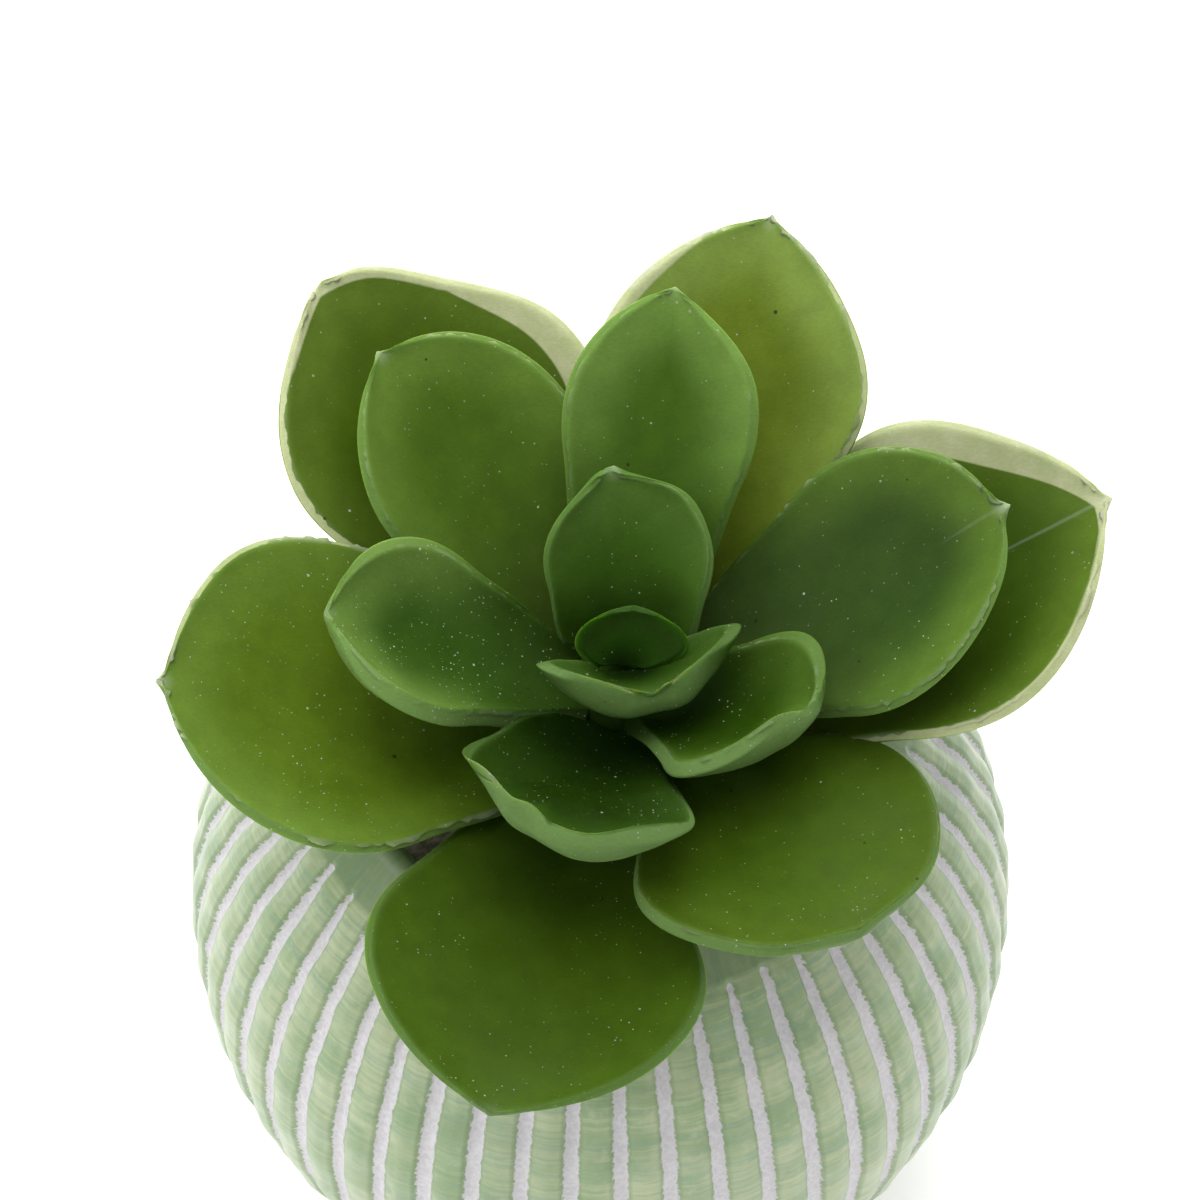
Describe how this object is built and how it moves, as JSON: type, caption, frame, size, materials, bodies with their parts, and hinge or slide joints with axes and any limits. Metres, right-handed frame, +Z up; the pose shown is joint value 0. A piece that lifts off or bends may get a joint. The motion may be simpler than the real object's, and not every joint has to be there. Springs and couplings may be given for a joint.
{
  "type": "potted artificial succulent",
  "caption": "Desk-size moulded succulent: a rosette of thick spoon-shaped leaves on a short stem, set in fill in a round grooved ceramic pot.",
  "frame": {"origin": "centre of the pot's flat foot", "axes": "+Z up along the pot's axis, -Y towards the front, +X to the right seen from the front"},
  "size_m": [0.0971, 0.0956, 0.1108],
  "materials": {
    "glazed_ceramic": null,
    "fill": "rough grey-brown grit",
    "stem": "satin dark green",
    "outer_leaf": "satin, slightly translucent olive green",
    "middle_leaf": "satin, slightly translucent green",
    "inner_leaf": "satin, slightly translucent deep green"
  },
  "bodies": {
    "root": {"pot": "glazed_ceramic", "fill": "fill", "stem": "stem", "outer_leaf_back_left": "outer_leaf", "outer_leaf_back": "outer_leaf", "outer_leaf_right": "outer_leaf", "outer_leaf_front_right": "outer_leaf", "outer_leaf_front": "outer_leaf", "outer_leaf_left": "outer_leaf", "middle_leaf_back_left": "middle_leaf", "middle_leaf_back": "middle_leaf", "middle_leaf_right": "middle_leaf", "middle_leaf_front_right": "middle_leaf", "middle_leaf_front": "middle_leaf", "middle_leaf_left": "middle_leaf", "inner_leaf_back": "inner_leaf", "inner_leaf_front": "inner_leaf", "heart_leaf": "inner_leaf"}
  },
  "joints": []
}
